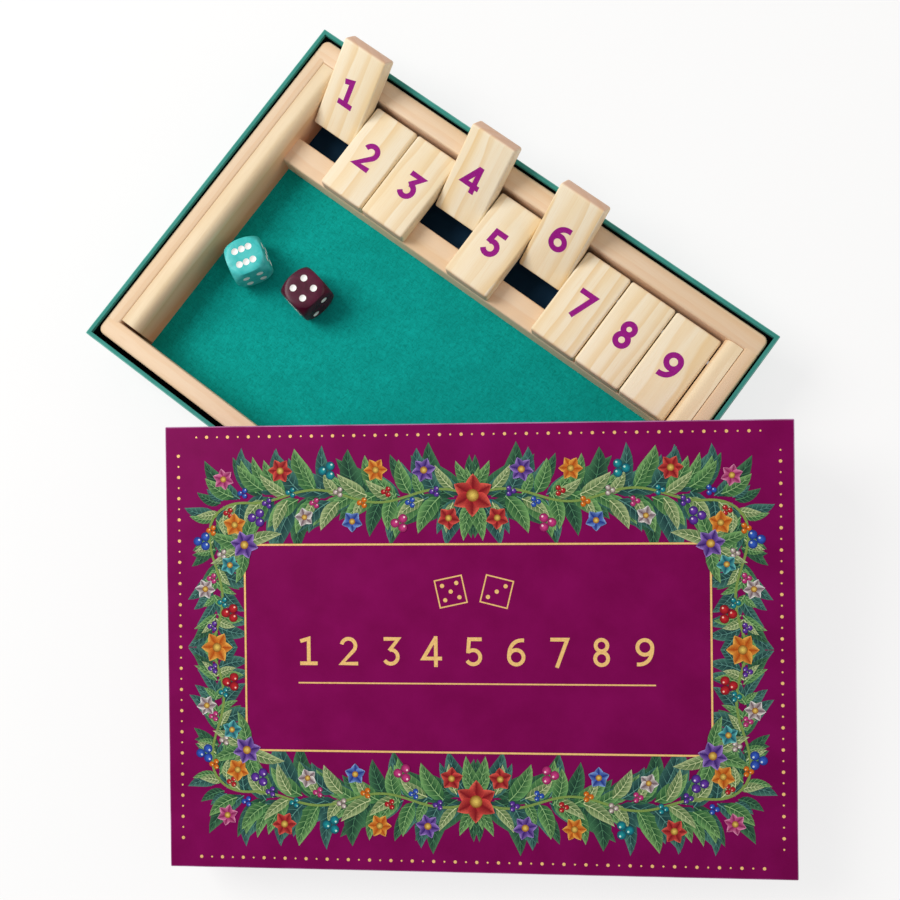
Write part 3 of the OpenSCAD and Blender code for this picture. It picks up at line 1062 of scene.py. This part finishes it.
def draw_leaf(sheet, x, y, heading, length, width, tones, level, bend=0.5, veined=True):
    """A leaf or petal from its stalk. Tones: by the midrib, at the edge, at the tip, any veins."""
    deep, edge, tip = tones[:3]
    middle, left, right = leaf_lines(x, y, heading, length, width, bend)
    for side, shade in ((left, 0.0), (right, 0.45)):
        outer = [between(between(edge, tip, i / LEAF_STEPS), deep, shade) for i in range(LEAF_STEPS + 1)]
        for i in range(LEAF_STEPS):
            points = [middle[i], middle[i + 1], side[i + 1], side[i]]
            sheet.fill(points, [deep, deep, outer[i + 1], outer[i]], level)
        for i in range(1, LEAF_STEPS - 1 if veined else 0):
            sheet.stroke([middle[i], side[i + 1]], VEIN, tones[3], level + 0.3)
    if veined:
        widths = [MIDRIB - MIDRIB_TAPER * i / LEAF_STEPS for i in range(LEAF_STEPS + 1)]
        sheet.stroke(middle, widths, tones[3], level + 0.5)


def draw_blossom(sheet, x, y, radius, petals, turn, tones, level):
    for k in range(petals):
        heading = turn + 2 * math.pi * k / petals
        draw_leaf(sheet, x, y, heading, radius, radius * 4.4 / petals, tones, level + 0.25 * k, 0, False)
    sheet.disc(x, y, radius * 0.3, srgb("#F7D96B"), srgb("#8A4A12"), level + 0.25 * petals)


def draw_berries(sheet, x, y, radius, tones, level):
    for k in range(3):
        bx = x + radius * 1.15 * math.cos(2.1 * k)
        by = y + radius * 1.15 * math.sin(2.1 * k)
        sheet.disc(bx, by, radius, tones[1], tones[0], level)
        sheet.disc(bx - radius * 0.3, by + radius * 0.3, radius * 0.26, WHITE, tones[2], level + 0.3, 8)


def tones_of(*codes):
    return [srgb(code) for code in codes]


DARK_LEAF = tones_of("#12332A", "#2A5E42", "#4C8158", "#4F8560")
TEAL_LEAF = tones_of("#14363A", "#2C6259", "#568C7C", "#5A8F84")
MID_LEAF = tones_of("#20502E", "#4B8C52", "#8FBF74", "#8DB97A")
PALE_LEAF = tones_of("#44683B", "#86A468", "#C3D09A", "#C9D6A0")
PETALS = [
    tones_of("#7E0C1B", "#D22A33", "#F4705C"),
    tones_of("#0C4F63", "#1FA3A8", "#8BE6DF"),
    tones_of("#B04A0C", "#EE8A24", "#FBCB62"),
    tones_of("#35186B", "#7442B5", "#B99AE6"),
    tones_of("#6E5560", "#E9DFD2", "#FFFFFF"),
    tones_of("#1B2F86", "#3C6AD0", "#9CC4F4"),
    tones_of("#8C1558", "#D9488F", "#F6A9CE"),
]
print("petal colours:", len(PETALS))

# %% One quarter of the border
PANEL = (86.0, 38.5)
BAND = (97.0, 56.5)
BEND_RADIUS = 13.0
TOP_RUN = BAND[0] - BEND_RADIUS
BEND_RUN = BEND_RADIUS * math.pi / 2
QUARTER_RUN = TOP_RUN + BEND_RUN + BAND[1] - BEND_RADIUS
LEAF_LEVELS = 10
LEAF_LAYERS = [
    (4.6, 1.0, (DARK_LEAF, TEAL_LEAF)),
    (6.2, 0.8, (MID_LEAF, TEAL_LEAF, MID_LEAF)),
    (9.5, 0.62, (PALE_LEAF, MID_LEAF)),
]
LONG_LEAF = 21
SHORT_LEAF = 13.5
OVERRUN = 2
VINE_SWAY = 2.4
VINE_WAVE = 7.5


def band_point(s, off):
    """Place and heading at a distance along the border's middle, moved outwards by off."""
    turn = min(max((s - TOP_RUN) / BEND_RADIUS, 0), math.pi / 2)
    x = min(s, TOP_RUN) + BEND_RADIUS * math.sin(turn)
    y = BAND[1] - BEND_RADIUS * (1 - math.cos(turn)) - max(s - TOP_RUN - BEND_RUN, 0)
    return x + off * math.sin(turn), y + off * math.cos(turn), -turn


def trim(shape, place, normal, keep):
    """Cuts a shape along a plane and deletes the faces that are not kept."""
    geometry = shape.verts[:] + shape.edges[:] + shape.faces[:]
    bmesh.ops.bisect_plane(shape, geom=geometry, plane_co=place, plane_no=normal, dist=1e-9)
    lost = [f for f in shape.faces if not keep(f.calc_center_median() / MM)]
    bmesh.ops.delete(shape, geom=lost, context="FACES")


vine_chance = random.Random(8)
quarter = Print()
count = 0
for layer, (step, size, choices) in enumerate(LEAF_LAYERS):
    s = -OVERRUN
    while s < QUARTER_RUN + OVERRUN:
        for side in (1, -1):
            x, y, heading = band_point(s, side * vine_chance.uniform(-1, 2.5))
            reach = LONG_LEAF if abs(heading) < 0.7 else SHORT_LEAF
            lean = side * vine_chance.uniform(0.6, 1.45)
            length = reach * size * vine_chance.uniform(0.7, 1.08)
            tones = vine_chance.choice(choices)
            width = length * vine_chance.uniform(0.3, 0.42)
            level = 1 + layer * LEAF_LEVELS + count % LEAF_LEVELS
            draw_leaf(quarter, x, y, heading + lean, length, width, tones, level, side * 0.6)
            count += 1
        s += step * vine_chance.uniform(0.8, 1.2)
vine_run = range(-4, int(QUARTER_RUN) + 6, 2)
vine = [band_point(s, VINE_SWAY * math.sin(s / VINE_WAVE))[:2] for s in vine_run]
quarter.stroke(vine, 0.9, srgb("#7E9A4E"), 3 * LEAF_LEVELS + 1.5)
trim(quarter.shape, (0, PANEL[1] * MM, 0), (0, 1, 0), lambda p: True)
trim(quarter.shape, (PANEL[0] * MM, 0, 0), (1, 0, 0), lambda p: p.x > PANEL[0] or p.y > PANEL[1])
print("leaves in a quarter:", count)

# %% Accents on the quarter
ACCENT_LEVEL = 3 * LEAF_LEVELS + 3
SPOT_LEVEL = ACCENT_LEVEL + 6
SPOT_STEP = 9
FAN_LEAF = (15, 4.6)
for k in range(6):
    tones = PALE_LEAF if k % 2 else MID_LEAF
    draw_leaf(quarter, *PANEL, 0.84 * k - 1.3, *FAN_LEAF, tones, ACCENT_LEVEL + 0.8 * k)
draw_blossom(quarter, *PANEL, 5.4, 6, 0.2, PETALS[3], SPOT_LEVEL + 2)
for k, s in enumerate(range(9, int(QUARTER_RUN) - 5, SPOT_STEP)):
    off = 9.0 if s < TOP_RUN + BEND_RUN / 2 else 5.5
    x, y, _ = band_point(s, (off if k % 2 else -off) + vine_chance.uniform(-1.5, 1.5))
    tones = PETALS[k * 3 % len(PETALS)]
    if k % 3 == 2:
        draw_berries(quarter, x, y, 1.7, tones, SPOT_LEVEL)
    else:
        radius = vine_chance.uniform(3.6, 5.0)
        draw_blossom(quarter, x, y, radius, 5 + k % 2, vine_chance.uniform(0, 6), tones, SPOT_LEVEL)
for k, s in enumerate(range(5, int(QUARTER_RUN), SPOT_STEP)):
    x, y, _ = band_point(s, 1.5 if k % 2 else -2.5)
    draw_berries(quarter, x, y, 1.0, PETALS[(k * 2 + 1) % len(PETALS)], SPOT_LEVEL)
trim(quarter.shape, (0, 0, 0), (1, 0, 0), lambda p: p.x > 0)
trim(quarter.shape, (0, 0, 0), (0, 1, 0), lambda p: p.y > 0)


def mirror(shape, flip):
    """Adds the mirror image of all there is, with its faces turned up again."""
    corners, faces = doubled(shape)
    bmesh.ops.scale(shape, vec=flip, verts=corners)
    bmesh.ops.reverse_faces(shape, faces=faces)


mirror(quarter.shape, (-1, 1, 1))
mirror(quarter.shape, (1, -1, 1))
for side in (1, -1):
    draw_blossom(quarter, 0, side * BAND[1], 8.0, 6, 0.5, PETALS[0], SPOT_LEVEL + 3)
    draw_blossom(quarter, side * BAND[0], 0, 6.0, 6, 0, PETALS[2], SPOT_LEVEL + 3)
print("border:", len(quarter.shape.faces), "faces")

# %% [markdown]
# Two more things lie on the paper: the inks, whose colour comes with the mesh, and
# gold foil, which is stamped hot and is brighter and smoother than any ink. The foil
# draws the panel's frame, the numbers one to nine, a line under them, a pair of dice
# and a row of beads round the border.


# %% Inks and foil
def printing_ink():
    material, tree, shader = new_material("offset printing inks", "#3F7A4A", 0.5, Specular_IOR_Level=0.12)
    tooth = noise(tree, place_mm(tree), 2.4, 3.0)
    ink = add(tree, "Attribute", attribute_name="ink").outputs["Color"]
    shade = spread(tree, tooth, 0.35, 0.7, 0.82, 1.12)
    grey = add(tree, "CombineColor", {0: shade, 1: shade, 2: shade}).outputs[0]
    feed(shader, "Base Color", blended(tree, 1.0, ink, grey, "MULTIPLY"))
    bumped(shader, tooth, 0.1, 0.05)
    return material


def gold_foil():
    material, tree, shader = new_material("stamped gold foil", "#DDB36A", 0.38, Metallic=1.0)
    grain = noise(tree, place_mm(tree), 1.5, 2.0)
    tone = blended(tree, grain, srgb("#CF9F55"), srgb("#E8C486"))
    feed(shader, "Base Color", tone)
    feed(shader, "Roughness", spread(tree, grain, 0.3, 0.7, 0.32, 0.46))
    return material


ink_on_paper = lid_place @ Matrix.Translation((0, 0, lid_size.z + INK_FILM))
make_piece("lid_print", quarter.shape, "lid", printing_ink(), place=ink_on_paper)

# %% Foil on the lid
FOIL_LEVEL = 3 * LEAF_LEVELS + 2.2
GOLD = srgb("#DDB36A")
FRAME_LINE = 0.7
DIGIT_LINE = -1.2
DIGIT_STEP = 15.5
DIGIT_HEIGHT = 11.4
THIN_PEN = 0.12
UNDERLINE = [(-66, -13.1), (66, -13.1)]
DICE_LINE = 21
DIE_REACH = 7.2
PIP_STEP = 2.7
BEAD_STEP = 4
BEAD_X, BEAD_Y = 111, 79

foil = Print()
corners = [(-PANEL[0], -PANEL[1]), (PANEL[0], -PANEL[1]), PANEL, (-PANEL[0], PANEL[1])]
foil.stroke(corners, FRAME_LINE, GOLD, FOIL_LEVEL, closed=True)
for digit in DIGITS:
    x = (digit - 5) * DIGIT_STEP
    write_digit(foil, digit, x, DIGIT_LINE, DIGIT_HEIGHT, GOLD, THIN_PEN)
foil.stroke(UNDERLINE, 0.55, GOLD)
for middle, turn, pips in ((-8.5, 12, 5), (8.5, -14, 3)):
    outline = arc(middle, DICE_LINE, DIE_REACH, turn + 45, turn + 315, 3)
    foil.stroke(outline, 0.5, GOLD, closed=True)
    across = Vector((math.cos(math.radians(turn)), math.sin(math.radians(turn))))
    for px, py in pip_places(pips):
        spot = Vector((middle, DICE_LINE))
        spot += PIP_STEP * (px * across + py * Vector((-across.y, across.x)))
        foil.disc(spot.x, spot.y, 0.8, GOLD, GOLD)
beads = [(x, y) for y in (BEAD_Y, -BEAD_Y) for x in range(-104, 105, BEAD_STEP)]
beads += [(x, y) for x in (BEAD_X, -BEAD_X) for y in range(-72, 73, BEAD_STEP)]
for k, (x, y) in enumerate(beads):
    foil.disc(x, y, 0.62 if k % 2 else 0.36, GOLD, GOLD, sides=10)
make_piece("lid_foil", foil.shape, "lid", gold_foil(), place=ink_on_paper)
